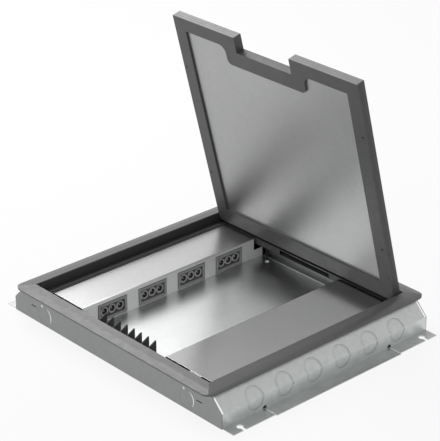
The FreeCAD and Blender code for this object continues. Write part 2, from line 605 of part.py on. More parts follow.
for tag, sx, _ in SIDES:
    for end, sy, _ in SIDES:
        ledge_tools.append(cyl("level_hole_" + tag + end, "level_r + 2 * fit_gap", "ledge_t + 2",
                               sx + "level_x", sy + "level_y", "skirt_z - 1"))
node(cut("seat_frame_body", ledge, ledge_tools), "seat_frame")

# lid seal on three sides of the ledge, open at the cable outlet
seal = cut("lid_seal_body",
           ring("seal_ring", "seal_in + seal_w", "seal_in", "ledge_z", "ledge_z + seal_t"),
           [box("seal_outlet", "-outlet_half - 1", "outlet_half + 1", "-open_half", "-seal_in + 1",
                "ledge_z - 1", "ledge_z + 4"),
            box("seal_rear", "-open_half", "open_half", "seal_in - 20", "open_half",
                "ledge_z - 1", "ledge_z + 4")])
node(seal, "lid_seal")

# cable comb: a base bar with a row of raked fins
comb_parts = [box("comb_bar", "-comb_half", "comb_half", "comb_front", "comb_bar_back",
                  "skirt_z + ledge_t", "comb_base_z")]
for i in range(int(SIZE["fin_count"])):
    x = "-comb_half + (%d) * (2 * comb_half - fin_t) / (fin_count - 1)" % i
    comb_parts.append(outline("fin_%d" % i,
                              [("comb_front", "skirt_z + 2 * ledge_t"),
                               ("comb_back", "skirt_z + 2 * ledge_t"), ("comb_back", "fin_tip_z"),
                               ("comb_back - fin_tip_w", "fin_tip_z"), ("comb_front", "fin_front_z")],
                              "YZ", x, "fin_t"))
node(fuse("cable_comb_body", comb_parts), "cable_comb")

group([cyl("hinge_pin_p", "hinge_r", "open_half - hinge_in", "hinge_in", "hinge_y", "hinge_z", "x"),
       cyl("hinge_pin_n", "hinge_r", "open_half - hinge_in", "-open_half", "hinge_y", "hinge_z", "x")],
      "hinge_pins")


# ---- lid, drawn closed and then swung open about the hinge axis -------------
def swing(obj):
    obj.Placement = FreeCAD.Placement(V(0, 0, 0), FreeCAD.Rotation(V(-1, 0, 0), 1.0))
    bind(obj, "Placement.Rotation.Angle", "open_deg")
    bind(obj, "Placement.Base.y",
         "hinge_y - hinge_y * cos(open_deg * 1 deg) - hinge_z * sin(open_deg * 1 deg)")
    bind(obj, "Placement.Base.z",
         "hinge_z + hinge_y * sin(open_deg * 1 deg) - hinge_z * cos(open_deg * 1 deg)")
    return obj


def notched(name, grow, z0, z1, rear="lid_half"):
    """Block with the lid's plan outline pulled in by grow, the notch kept open."""
    return cut(name, box(name + "_o", "-(lid_half - %s)" % grow, "lid_half - %s" % grow,
                         "-(lid_half - %s)" % grow, rear, z0, z1),
               [box(name + "_n", "-(notch_half + %s)" % grow, "notch_half + %s" % grow,
                    "-lid_half - 1", "-lid_half + notch_d + %s" % grow, z0 + " - 1", z1 + " + 1")])


def step_outline(name, lap, z0, z1):
    """The reinforcing plate's outline, stepped behind the notch with flared corners."""
    tongue = rounded(name + "_tongue", "-(plate_step_half - %s)" % lap, "plate_step_half - %s" % lap,
                     "plate_open_free - 40", "plate_step_y - %s" % lap, z0 + " - 1", z1 + " + 1",
                     "step_corner_r - %s" % lap)
    tools = [tongue]
    for tag, sx, a in SIDES:
        in_x, far = "plate_step_half - %s" % lap, "plate_step_half + step_flare_r"
        lo, hi = ("(%s) - 1" % in_x, far) if a > 0 else ("-(%s)" % far, "-(%s) + 1" % in_x)
        flare = cut(name + "_flare_" + tag,
                    box(name + "_flare_box_" + tag, lo, hi, "plate_open_free - %s - 1" % lap,
                        "plate_open_free + step_flare_r", z0 + " - 1", z1 + " + 1"),
                    [cyl(name + "_flare_cyl_" + tag, "step_flare_r + %s" % lap,
                         "(%s) - (%s) + 4" % (z1, z0), "%s(%s)" % (sx, far),
                         "plate_open_free + step_flare_r", z0 + " - 2")])
        tools.append(flare)
    return cut(name, box(name + "_big", "-(plate_open_x + %s)" % lap, "plate_open_x + %s" % lap,
                         "plate_open_free - %s" % lap, "plate_open_rear + %s" % lap, z0, z1), tools)


z = "lid_z"
recess = notched("lid_recess", "lid_rim", z + " + lid_base", z + " + lid_t + 1",
                 rear="lid_half - lid_rear_bar")
lid_tools = [recess,
             step_outline("plate_window", "0", z + " - 1", z + " + plate_depth + 1"),
             step_outline("plate_pocket", "plate_lap", z + " + plate_depth", z + " + lid_base + 1")]
for tag, sx, a in SIDES:
    lid_tools.append(cyl("lid_bore_" + tag, "hinge_r + 2 * fit_gap", "lid_half - hinge_in + 2",
                         "hinge_in - 1" if a > 0 else "-lid_half - 1", "hinge_y", "hinge_z", "x"))
    for k, sy in enumerate(("lid_screw_rear", "lid_screw_free")):
        lid_tools.append(cyl("lid_hole_%s%d" % (tag, k), "lid_screw_r + fit_gap / 2",
                             "lid_screw_l + lid_screw_drop + 1.3", sx + "lid_screw_x", sy,
                             z + " - 1"))
for k, low in enumerate(("edge_line_low", "edge_line_high")):
    lid_tools.append(cut("edge_line_%d" % k,
                         box("edge_line_o%d" % k, "-lid_half - 1", "lid_half + 1", "-lid_half - 1",
                             "lid_half + 1", "%s + %s" % (z, low), "%s + %s + edge_groove" % (z, low)),
                         [box("edge_line_i%d" % k, "-lid_half + edge_groove_d",
                              "lid_half - edge_groove_d", "-lid_half + edge_groove_d",
                              "lid_half + 2", z, z + " + lid_t")]))
node(swing(cut("lid_frame_body", notched("lid_blank", "0", z, z + " + lid_t"), lid_tools)),
     "lid_frame")
node(swing(step_outline("lid_plate_body", "(plate_lap - plate_gap)", z + " + plate_depth",
                        z + " + plate_depth + plate_t")), "lid_plate")
node(swing(step_outline("lid_board_body", "(plate_lap - plate_gap)", z + " + plate_depth + plate_t",
                        z + " + lid_base")), "lid_core_board")
node(swing(notched("lid_pan_body", "(lid_rim + fit_gap)", z + " + lid_base",
                   z + " + lid_base + pan_t", rear="lid_half - lid_rear_bar - fit_gap")), "lid_pan")
lid_screws = []
for tag, sx, a in SIDES:
    for k, sy in enumerate(("lid_screw_rear", "lid_screw_free")):
        lid_screws.append(cyl("lid_screw_%s%d" % (tag, k), "lid_screw_r", "lid_screw_l",
                              sx + "lid_screw_x", sy, z + " + lid_screw_drop"))
swing(group(lid_screws, "lid_screws"))

# ---- check and write --------------------------------------------------------
doc.recompute()
bad = [o.Name for o in doc.Objects if "Invalid" in o.State or "Error" in o.State]
if bad:
    raise RuntimeError("objects in error: " + ", ".join(bad))
labels = [o.Label for o in NODES]
if len(set(labels)) != len(labels):
    raise RuntimeError("two nodes share a label")
os.makedirs("parts", exist_ok=True)
for o in NODES:
    shape = o.Shape
    if shape.isNull() or not shape.isValid() or not shape.Solids:
        raise RuntimeError("bad shape: " + o.Label)
    shape.exportStep("parts/%s.step" % o.Label)
    b = shape.BoundBox
    print("%-24s solids %d  x %.1f..%.1f  y %.1f..%.1f  z %.1f..%.1f" % (
        o.Label, len(shape.Solids), b.XMin, b.XMax, b.YMin, b.YMax, b.ZMin, b.ZMax))
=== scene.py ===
"""Raised-access floor socket box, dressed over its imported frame.

Laid out as a Blender add-on and run as a script.  Metres, +Z up, +Y the hinge side.
"""
import math

import bmesh
import bpy
from mathutils import Matrix, Vector


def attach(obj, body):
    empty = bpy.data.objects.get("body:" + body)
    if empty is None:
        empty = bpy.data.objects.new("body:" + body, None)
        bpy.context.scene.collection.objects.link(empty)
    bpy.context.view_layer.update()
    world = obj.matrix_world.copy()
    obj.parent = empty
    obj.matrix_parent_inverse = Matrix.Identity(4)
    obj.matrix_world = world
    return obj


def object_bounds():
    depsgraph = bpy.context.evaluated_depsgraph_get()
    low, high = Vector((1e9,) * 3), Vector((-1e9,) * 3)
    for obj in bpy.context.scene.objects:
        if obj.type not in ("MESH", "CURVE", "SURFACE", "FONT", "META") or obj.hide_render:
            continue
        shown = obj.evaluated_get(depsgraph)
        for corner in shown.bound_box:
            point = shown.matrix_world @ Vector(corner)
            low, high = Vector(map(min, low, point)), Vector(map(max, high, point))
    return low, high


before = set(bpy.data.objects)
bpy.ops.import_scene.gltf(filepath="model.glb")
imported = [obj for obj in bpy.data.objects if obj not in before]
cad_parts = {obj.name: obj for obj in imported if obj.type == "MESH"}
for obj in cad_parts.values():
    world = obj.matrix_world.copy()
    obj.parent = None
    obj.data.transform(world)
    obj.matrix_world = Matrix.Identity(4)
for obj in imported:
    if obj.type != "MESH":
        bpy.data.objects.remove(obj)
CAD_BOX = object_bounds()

bl_info = {
    "name": "Floor socket box",
    "version": (1, 0, 0),
    "blender": (4, 5, 0),
    "location": "View3D > Sidebar > Floor box",
    "description": "Dresses a floor socket box: sheet metal, powder coat, outlets, comb and lid",
    "category": "Object",
}

MM = 0.001
LEAN = math.sqrt(0.5)  # rise and run of a wall that leans at 45 degrees

# how CAD nodes are cleaned before their edges are softened
WELD_WITHIN = 0.00001  # metres
FLAT_WITHIN = 0.5      # degrees
EDGE_FROM = 40.0       # degrees

# sizes of the object that the added pieces follow, in millimetres
WEB_X = 367.2          # outer face of the side web
WALL_Y = 325.6         # outer face of the end walls
BEND_Z = 36.5          # where the side web leans in
WALL_TOP = 73.0
KEYHOLE = (WEB_X + 18.8, WALL_Y - 35.6)
PANEL_GAP = 4.6        # between a leaning wall and an end wall
FOOT_SPLIT = WALL_Y - 127.1
SHEET = 2.0
RELIEF_R = 3.4         # black disc painted as the shade inside a relief hole
KNOCK_R = 24.3         # cable knockouts
SIDE_KNOCKS = 6
KNOCK_PITCH = 0.2764 * WALL_Y
SIDE_SCORES = ((KNOCK_R - 0.5, 0.7), (KNOCK_R - 4.0, 0.4))   # radius, width
SCORE_ALONG = 7.5      # arc centre above the bend, up the leaning wall
SCORE_DROP = 3.0       # arc centre below the bend, down the web
SCORE_DEPTH = 0.6
END_KNOCK = (WEB_X - 114.7, 27.0)
PRY_HOLE = (9.0, KNOCK_R - 1.5, 2.1)   # beside, above, radius
OUTLET_Y = [4.5 + (i - 1.5) * 125.0 for i in range(4)]
OUTLET_Z = 26.5
BEZEL = (87.0, 44.0)
POWER_FACE = -174.0
DATA_FACE = 123.0
BLOCK_FACE = -177.0    # face of the socket blocks
SOCKET_PITCH = 24.0
SOCKET_R = 8.4
SOCKET_DEPTH = 14.0
CONTACTS = (90, 210, 330)   # degrees round each socket
CONTACT_R = 3.6
LEVEL_AT = (142.0, 294.0)
LEVEL_TOP = 55.0
LEVEL_R = 2.5
HINGE = (0.0, 295.8, 78.8)
OPEN_ANGLE = 75.4
LID_SCREWS = ((293.5, 152.5), (293.5, -161.5))
LID_UNDER = 61.0       # underside of the closed lid
LID_HALF = 303.5
NOTCH_HALF = 90.5      # cable notch in the free edge
EDGING_AT = (65.3, 72.5, 79.7)
EDGING = 6.4

# stage: name, place in metres, size in metres, watts
LAMPS = (("key lamp", (-2.2, 0.4, 2.6), 2.0, 60.0),
         ("fill lamp", (-1.6, -3.0, 1.8), 2.4, 30.0))
LAMP_AIM = (0, 0, 0.1)
SKY_LIGHT = 0.45
FLOOR_GLOW = 0.86
CAMERA_TURN = (47.66, 25.86)               # azimuth and elevation, degrees
CAMERA_BACK = (4.4867, 0.00263, 0.2356)    # back, right and up, metres
CAMERA_LENS = 154.17818


# ---- settings ---------------------------------------------------------------
class FloorBoxFinish(bpy.types.PropertyGroup):
    """Colours and roughness of the finishes."""

    zinc_coat: bpy.props.FloatVectorProperty(
        name="Galvanised sheet", description="Colour of the outer sheet",
        subtype="COLOR", size=3, min=0, max=1, default=(0.38, 0.393, 0.389))
    zinc_coat_rough: bpy.props.FloatProperty(
        name="Galvanised roughness", description="Roughness of the outer sheet",
        subtype="FACTOR", min=0, max=1, default=0.42)
    # painted shade: the end walls take a darker copy of the galvanised colour
    end_wall_painted_shade: bpy.props.FloatVectorProperty(
        name="End wall sheet", description="Colour of the end walls",
        subtype="COLOR", size=3, min=0, max=1, default=(0.27, 0.278, 0.276))
    tray_sheet: bpy.props.FloatVectorProperty(
        name="Tray sheet", description="Colour of the bright floor tray",
        subtype="COLOR", size=3, min=0, max=1, default=(0.70, 0.715, 0.71))
    tray_rough: bpy.props.FloatProperty(
        name="Tray roughness", description="Roughness of the floor tray",
        subtype="FACTOR", min=0, max=1, default=0.31)
    cover_sheet: bpy.props.FloatVectorProperty(
        name="Cover sheet", description="Colour of the compartment covers",
        subtype="COLOR", size=3, min=0, max=1, default=(0.49, 0.49, 0.49))
    cover_rough: bpy.props.FloatProperty(
        name="Cover roughness", description="Roughness of the compartment covers",
        subtype="FACTOR", min=0, max=1, default=0.30)
    lid_sheet: bpy.props.FloatVectorProperty(
        name="Lid plate", description="Colour of the lid's reinforcing plate",
        subtype="COLOR", size=3, min=0, max=1, default=(0.40, 0.405, 0.402))
    lid_sheet_rough: bpy.props.FloatProperty(
        name="Lid plate roughness", description="Roughness of the reinforcing plate",
        subtype="FACTOR", min=0, max=1, default=0.40)
    trim_coat: bpy.props.FloatVectorProperty(
        name="Trim coat", description="Powder coat of the trim rails",
        subtype="COLOR", size=3, min=0, max=1, default=(0.109, 0.109, 0.109))
    lid_coat: bpy.props.FloatVectorProperty(
        name="Lid coat", description="Powder coat of the lid frame",
        subtype="COLOR", size=3, min=0, max=1, default=(0.070, 0.070, 0.070))
    ledge_coat: bpy.props.FloatVectorProperty(
        name="Ledge coat", description="Black coat of the seat frame",
        subtype="COLOR", size=3, min=0, max=1, default=(0.042, 0.042, 0.042))
    outlet_plastic: bpy.props.FloatVectorProperty(
        name="Outlet plastic", description="Moulded plastic of bezels and blanks",
        subtype="COLOR", size=3, min=0, max=1, default=(0.34, 0.34, 0.34))
    comb_rubber: bpy.props.FloatVectorProperty(
        name="Comb rubber", description="Rubber of the cable comb and seal",
        subtype="COLOR", size=3, min=0, max=1, default=(0.042, 0.042, 0.042))


class FloorBoxSizes(bpy.types.PropertyGroup):
    """Small edge sizes that the dressing adds."""

    sheet_edge: bpy.props.FloatProperty(
        name="Sheet edge", description="Rounding on cut sheet edges",
        unit="LENGTH", min=0, max=0.002, default=0.0003)
    coat_edge: bpy.props.FloatProperty(
        name="Coated edge", description="Rounding on powder-coated profiles",
        unit="LENGTH", min=0, max=0.004, default=0.0014)
    plastic_edge: bpy.props.FloatProperty(
        name="Plastic edge", description="Rounding on moulded plastic",
        unit="LENGTH", min=0, max=0.002, default=0.0005)


# ---- materials ----------------------------------------------------------------
class Nodes:
    """A small builder for one procedural material."""

    def __init__(self, name):
        self.mat = bpy.data.materials.new(name)
        self.mat.use_nodes = True
        self.tree = self.mat.node_tree
        self.tree.nodes.clear()
        self.out = self.add("ShaderNodeOutputMaterial")
        self.bsdf = self.add("ShaderNodeBsdfPrincipled")
        self.link(self.bsdf.outputs["BSDF"], self.out.inputs["Surface"])
        self.coord = self.add("ShaderNodeTexCoord").outputs["Object"]

    def add(self, kind, **values):
        node = self.tree.nodes.new(kind)
        for key, value in values.items():
            setattr(node, key, value)
        return node

    def link(self, a, b):
        self.tree.links.new(a, b)

    def mapped(self, scale):
        m = self.add("ShaderNodeMapping")
        m.inputs["Scale"].default_value = scale
        self.link(self.coord, m.inputs["Vector"])
        return m.outputs["Vector"]

    def noise(self, scale, detail=3.0, rough=0.55, stretch=(1, 1, 1)):
        n = self.add("ShaderNodeTexNoise")
        n.inputs["Scale"].default_value = scale
        n.inputs["Detail"].default_value = detail
        n.inputs["Roughness"].default_value = rough
        self.link(self.mapped(stretch), n.inputs["Vector"])
        return n.outputs["Fac"]

    def cells(self, scale):
        n = self.add("ShaderNodeTexVoronoi", feature="F1")
        n.inputs["Scale"].default_value = scale
        self.link(self.coord, n.inputs["Vector"])
        return n.outputs["Color"]

    def span(self, source, low, high, from_low=0.0, from_high=1.0):
        r = self.add("ShaderNodeMapRange")
        r.inputs["From Min"].default_value = from_low
        r.inputs["From Max"].default_value = from_high
        r.inputs["To Min"].default_value = low
        r.inputs["To Max"].default_value = high
        self.link(source, r.inputs["Value"])
        return r.outputs["Result"]

    def tint(self, colour, factor):
        """colour multiplied by a grey factor output."""
        mix = self.add("ShaderNodeMix", data_type="RGBA", blend_type="MULTIPLY")
        mix.inputs["Factor"].default_value = 1.0
        mix.inputs["A"].default_value = (*colour, 1.0)
        comb = self.add("ShaderNodeCombineColor")
        for k in ("Red", "Green", "Blue"):
            self.link(factor, comb.inputs[k])
        self.link(comb.outputs["Color"], mix.inputs["B"])
        return mix.outputs["Result"]

    def times(self, a, b):
        m = self.add("ShaderNodeMath", operation="MULTIPLY")
        self.link(a, m.inputs[0])
        self.link(b, m.inputs[1])
        return m.outputs["Value"]

    def bump(self, height, strength, distance=0.0005):
        b = self.add("ShaderNodeBump")
        b.inputs["Strength"].default_value = strength
        b.inputs["Distance"].default_value = distance
        self.link(height, b.inputs["Height"])
        self.link(b.outputs["Normal"], self.bsdf.inputs["Normal"])

    def upright(self):
        """0 on level faces, 1 on upright ones."""
        split = self.add("ShaderNodeSeparateXYZ")
        self.link(self.add("ShaderNodeNewGeometry").outputs["True Normal"], split.inputs["Vector"])
        flat = self.add("ShaderNodeMath", operation="ABSOLUTE")
        self.link(split.outputs["Z"], flat.inputs[0])
        return self.span(flat.outputs["Value"], 1.0, 0.0)


def sheet_metal(name, colour, rough, spangle=0.06, grain=(6, 1, 6), blotch=0.05, matt=0.0,
                upright_painted_light=0.0):
    """Zinc-coated or satin steel sheet: faint crystals, rolling grain and blotches.
    Upright faces are duller by matt, and their colour is painted paler by a factor, as painted
    light."""
    m = Nodes(name)
    m.link(m.span(m.upright(), 1.0, 1.0 - matt), m.bsdf.inputs["Metallic"])
    crystal = m.span(m.cells(95.0), 1.0 - spangle, 1.0 + spangle)
    cloud = m.span(m.noise(6.0, 4.0), 1.0 - blotch, 1.0 + blotch, 0.3, 0.7)
    # painted light: upright faces get a paler colour than level faces
    painted_light_factor = m.span(m.upright(), 1.0, 1.0 + upright_painted_light)
    m.link(m.tint(colour, m.times(m.times(crystal, cloud), painted_light_factor)), m.bsdf.inputs["Base Color"])
    scratch = m.noise(420.0, 2.0, 0.6, grain)
    m.link(m.times(m.span(scratch, rough * 0.86, rough * 1.14, 0.3, 0.7), cloud),
           m.bsdf.inputs["Roughness"])
    m.bump(scratch, 0.05, 0.0002)
    return m.mat


def powder_coat(name, colour, rough=0.5):
    """Fine-textured powder coat with faint clouding."""
    m = Nodes(name)
    orange_peel = m.noise(1500.0, 2.0, 0.5)
    cloud = m.span(m.noise(9.0, 4.0), 0.94, 1.06, 0.3, 0.7)
    m.link(m.tint(colour, cloud), m.bsdf.inputs["Base Color"])
    m.link(m.span(m.noise(60.0, 3.0), rough - 0.05, rough + 0.05, 0.3, 0.7),
           m.bsdf.inputs["Roughness"])
    m.bump(orange_peel, 0.1, 0.0002)
    return m.mat


def moulding(name, colour, rough=0.45):
    """Moulded plastic with a spark-eroded grain."""
    m = Nodes(name)
    m.link(m.tint(colour, m.span(m.noise(40.0, 3.0), 0.96, 1.04, 0.3, 0.7)),
           m.bsdf.inputs["Base Color"])
    m.link(m.span(m.noise(220.0, 2.0), rough - 0.05, rough + 0.06, 0.3, 0.7),
           m.bsdf.inputs["Roughness"])
    m.bump(m.noise(2600.0, 1.0), 0.12, 0.0001)
    return m.mat


def rubber(name, colour):
    """Matt moulded rubber with a dusty bloom."""
    m = Nodes(name)
    bloom = m.span(m.noise(55.0, 5.0, 0.65), 0.85, 1.35, 0.3, 0.7)
    m.link(m.tint(colour, bloom), m.bsdf.inputs["Base Color"])
    m.link(m.span(m.noise(30.0, 2.0), 0.58, 0.72, 0.3, 0.7), m.bsdf.inputs["Roughness"])
    m.bump(m.noise(1400.0, 2.0), 0.15, 0.0002)
    return m.mat


def bright_metal(name, colour, rough=0.28):
    """Turned or plated metal with fine circular tool lines."""
    m = Nodes(name)
    m.bsdf.inputs["Metallic"].default_value = 1.0
    m.link(m.tint(colour, m.span(m.noise(70.0, 3.0), 0.9, 1.1, 0.3, 0.7)),
           m.bsdf.inputs["Base Color"])
    m.link(m.span(m.noise(300.0, 2.0), rough - 0.06, rough + 0.08, 0.3, 0.7),
           m.bsdf.inputs["Roughness"])
    return m.mat


def board(name, colour):
    """Mineral-filled board with speckle."""
    m = Nodes(name)
    m.link(m.tint(colour, m.span(m.noise(260.0, 6.0, 0.7), 0.8, 1.15, 0.3, 0.7)),
           m.bsdf.inputs["Base Color"])
    m.bsdf.inputs["Roughness"].default_value = 0.85
    m.bump(m.noise(700.0, 3.0), 0.3, 0.0003)
    return m.mat


# ---- helpers ------------------------------------------------------------------
def dress(names, material, edge=0.0, segments=2):
    """Give CAD nodes a finish, and soften their edges where edge is above 0."""
    for name in names:
        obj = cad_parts[name]
        obj.data.materials.clear()
        obj.data.materials.append(material)
        if edge > 0:
            weld = obj.modifiers.new("weld", "WELD")
            weld.merge_threshold = WELD_WITHIN
            flat = obj.modifiers.new("flat faces", "DECIMATE")
            flat.decimate_type = "DISSOLVE"
            flat.angle_limit = math.radians(FLAT_WITHIN)
            soft = obj.modifiers.new("soft edge", "BEVEL")
            soft.width = edge
            soft.segments = segments
            soft.limit_method = "ANGLE"
            soft.angle_limit = math.radians(EDGE_FROM)


def mesh_object(name, bm, material, body):
    """Turn a bmesh into a piece that rides on a body."""
    data = bpy.data.meshes.new(name)
    bm.to_mesh(data)
    bm.free()
    obj = bpy.data.objects.new(name, data)
    bpy.context.scene.collection.objects.link(obj)
    data.materials.append(material)
    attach(obj, body)
    return obj


def chamfered(width, height, chamfer):
    """Section of a small bar, centred across and standing on its origin."""
    w, c, h = width / 2, chamfer, height
    return ((-w, 0), (w, 0), (w, h - c), (w - c, h), (c - w, h), (-w, h - c))


def sweep(bm, stations, section, closed=False):
    """Carry a section along stations, each an origin with its across and up directions."""
    rings = []
    for origin, across, up in stations:
        rings.append([bm.verts.new((origin + a * across + b * up) * MM) for a, b in section])
    pairs = list(zip(rings, rings[1:] + rings[:1])) if closed else list(zip(rings, rings[1:]))
    count = len(section)
    for first, second in pairs:
        for i in range(count):
            k = (i + 1) % count
            bm.faces.new((first[i], first[k], second[k], second[i]))
    if not closed:
        bm.faces.new(rings[0][::-1])
        bm.faces.new(rings[-1])


def arc(centre, right, up, radius, start=0.0, end=360.0, steps=48):
    """Stations round an arc in the plane of right and up, facing right x up."""
    centre, right, up = Vector(centre), Vector(right), Vector(up)
    whole = abs(end - start) >= 360.0
    out = []
    for i in range(steps if whole else steps + 1):
        t = math.radians(start + (end - start) * i / steps)
        ray = math.cos(t) * right + math.sin(t) * up
        out.append((centre + radius * ray, ray, right.cross(up)))
    return out


def ring(bm, centre, right, up, inner, outer, height, chamfer):
    """Closed chamfered ring standing on its plane."""
    sweep(bm, arc(centre, right, up, (inner + outer) / 2),
          chamfered(outer - inner, height, chamfer), closed=True)


def bar(bm, start, end, up, width, height, chamfer):
    """Straight chamfered bar between two points."""
    start, end, up = Vector(start), Vector(end), Vector(up)
    across = (end - start).normalized().cross(up)
    sweep(bm, [(start, across, up), (end, across, up)], chamfered(width, height, chamfer))


def outline_bars(bm, centre, right, up, wide, high, width, height, chamfer):
    """Mitred rectangle of bars round a centre, standing on its plane."""
    centre, right, up = Vector(centre), Vector(right), Vector(up)
    out = []
    for a, b in ((-1, -1), (1, -1), (1, 1), (-1, 1)):
        out.append((centre + a * wide / 2 * right + b * high / 2 * up, a * right + b * up,
                    right.cross(up)))
    sweep(bm, out, chamfered(width, height, chamfer), closed=True)


def rod(bm, base, axis, radius, length, chamfer, sides=24):
    """Turned rod with chamfered ends."""
    base, axis = Vector(base), Vector(axis)
    right = axis.orthogonal().normalized()
    up = axis.cross(right)
    rings = []
    for at, r in ((0, radius - chamfer), (chamfer, radius), (length - chamfer, radius),
                  (length, radius - chamfer)):
        rings.append([bm.verts.new((base + at * axis + r * (
            math.cos(2 * math.pi * i / sides) * right + math.sin(2 * math.pi * i / sides) * up))
            * MM) for i in range(sides)])
    for first, second in zip(rings, rings[1:]):
        for i in range(sides):
            k = (i + 1) % sides
            bm.faces.new((first[i], first[k], second[k], second[i]))
    bm.faces.new(rings[0][::-1])
    bm.faces.new(rings[-1])


def thread(bm, base, radius, pitch, length, depth, sides=14):
    """Raised helix round an upright screw."""
    base = Vector(base)
    turns = length / pitch
    steps = int(turns * sides)
    out = []
    for i in range(steps + 1):
        t = 2 * math.pi * turns * i / steps
        ray = Vector((math.cos(t), math.sin(t), 0))
        rise = Vector((0, 0, length * i / steps))
        out.append((base + radius * ray + rise, Vector((0, 0, 1)), ray))
    sweep(bm, out, ((-0.4 * pitch, -0.1), (0.4 * pitch, -0.1), (0.06 * pitch, depth),
                    (-0.06 * pitch, depth)))


def swung():
    """Takes a point of the closed lid to where the lid stands open."""
    hinge = Vector(HINGE) * MM
    return (Matrix.Translation(hinge) @ Matrix.Rotation(math.radians(-OPEN_ANGLE), 4, "X")
            @ Matrix.Translation(-hinge))


def settings(context):
    """The finishes and edge sizes set on the scene."""
    return context.scene.floor_box_finish, context.scene.floor_box_sizes


# ---- operators ------------------------------------------------------------------
class FLOORBOX_OT_outer_box(bpy.types.Operator):
    """Finish the tray, side panels and end walls, with their scores and bends"""

    bl_idname = "floorbox.outer_box"
    bl_label = "Outer box"

    def execute(self, context):
        finish, size = settings(context)
        # painted light: the side panels' upright faces are painted paler
        zinc = sheet_metal("galvanised sheet", tuple(finish.zinc_coat), finish.zinc_coat_rough,
                           spangle=0.05, grain=(1, 6, 6), upright_painted_light=0.7)
        tray = sheet_metal("tray sheet", tuple(finish.tray_sheet), finish.tray_rough,
                           spangle=0.02, grain=(6, 1, 6), blotch=0.03)
        # painted shade: the end walls are a darker copy of the same galvanised sheet
        wall = sheet_metal("end wall sheet painted shade", tuple(finish.end_wall_painted_shade), finish.zinc_coat_rough,
                           spangle=0.03, grain=(1, 6, 6), blotch=0.02)
        dress(("left_side_panel", "right_side_panel"), zinc, size.sheet_edge)
        dress(("front_end_wall", "rear_end_wall"), wall, size.sheet_edge)
        dress(("base_tray",), tray)
        # painted highlight: real cut edges given a near-white metal that stands for glints and
        # light seen through slits and gaps
        bright = bright_metal("sheared zinc edge and painted highlight", (0.9, 0.9, 0.89), 0.35)
        # painted shade: a darker copy of the sheet laid in the score grooves
        score_groove_shade = sheet_metal("score groove painted shade", tuple(0.62 * c for c in finish.zinc_coat), 0.6)
        self.side_scores(score_groove_shade)
        self.end_scores(score_groove_shade, bright)
        # painted highlight: a paler copy of the sheet along the bend
        bend_highlight = sheet_metal("bend painted highlight", tuple(1.45 * c for c in finish.zinc_coat), 0.35)
        self.bends(bend_highlight, bright, moulding("relief hole painted shade", (0.01, 0.01, 0.01), 0.8))
        return {"FINISHED"}

    def side_scores(self, material):
        """Double score lines of the side knockouts, pressed across the bend, in painted shade."""
        bm = bmesh.new()
        for side in (1, -1):
            for i in range(SIDE_KNOCKS):
                y = (i - (SIDE_KNOCKS - 1) / 2) * KNOCK_PITCH
                high = (side * (WEB_X - LEAN * (SCORE_ALONG + SCORE_DEPTH)), y,
                        BEND_Z + LEAN * (SCORE_ALONG - SCORE_DEPTH))
                low = (side * (WEB_X - SCORE_DEPTH), y, BEND_Z - SCORE_DROP)
                for radius, width in SIDE_SCORES:
                    section = chamfered(width, 0.2, 0.08)
                    clip = math.degrees(math.asin(SCORE_ALONG / radius)) - 2
                    sweep(bm, arc(high, (0, side, 0), (-side * LEAN, 0, LEAN), radius, -clip,
                                  180 + clip), section)
                    clip = math.degrees(math.asin(SCORE_DROP / radius)) - 2
                    sweep(bm, arc(low, (0, side, 0), (0, 0, 1), radius, 180 - clip, 360 + clip),
                          section)
        mesh_object("side_knockout_scores", bm, material, "box")

    def end_scores(self, material, bright):
        """Score circles of the end knockouts in painted shade, and the sheared edges of their slits
        and pry holes, painted near-white as highlights.
        """
        score, sheared = bmesh.new(), bmesh.new()
        for end in (-1, 1):
            for side in (-1, 1):
                x, z = side * END_KNOCK[0], END_KNOCK[1]
                outward = Vector((0, end, 0))
                rest = arc((x, end * WALL_Y, z), (1, 0, 0), (0, 0, 1), KNOCK_R - 0.6, 72, 320)
                sweep(score, [(o, ray, outward) for o, ray, _ in rest], chamfered(0.6, 0.15, 0.05))
                # painted highlight: a crescent of near-white metal in the slit, widest in the
                # middle
                steps = 32
                slit = arc((x, end * (WALL_Y - 0.3), z), (1, 0, 0), (0, 0, 1), KNOCK_R - 0.65, -37,
                           70, steps)
                sweep(sheared, [(o, ray * (0.3 + 1.5 * math.sin(math.pi * i / steps)), outward)
                                for i, (o, ray, _) in enumerate(slit)], chamfered(1.25, 0.5, 0.1))
                beside, above, radius = PRY_HOLE
                hole = (x - beside, end * (WALL_Y - 0.2), z + above)
                rim = arc(hole, (1, 0, 0), (0, 0, 1), radius, steps=24)
                sweep(sheared, [(o, ray, outward) for o, ray, _ in rim], chamfered(1.7, 0.4, 0.1),
                      closed=True)
        mesh_object("end_knockout_scores", score, material, "box")
        mesh_object("end_knockout_edge_highlights", sheared, bright, "box")

    def bends(self, bend_highlight, bright, dark):
        """Painted highlights on the bends, in the wall gaps, round keyholes and along foot slits;
        painted shade in the relief holes.
        """
        line, painted_highlight_bars, relief_hole_shade = bmesh.new(), bmesh.new(), bmesh.new()
        top = WALL_TOP - BEND_Z
        reach = WALL_Y - SHEET - PANEL_GAP
        tilt = math.radians(45 / 2)
        for side in (1, -1):
            x = side * (WEB_X - 0.35)
            bar(line, (x, -reach, BEND_Z), (x, reach, BEND_Z),
                (side * math.cos(tilt), 0, math.sin(tilt)), 1.5, 0.45, 0.4)
            for end in (1, -1):
                y = end * (WALL_Y - SHEET - PANEL_GAP / 2)
                inset = Vector((-side * LEAN, 0, -LEAN)) * 1.2
                foot = Vector((side * WEB_X, y, BEND_Z)) + inset
                head = Vector((side * (WEB_X - top), y, BEND_Z + top)) + inset
                # painted highlight: a near-white bar in the gap between leaning wall and end wall
                bar(painted_highlight_bars, foot, head, (side * LEAN, 0, LEAN), PANEL_GAP - 0.2, 0.8, 0.2)
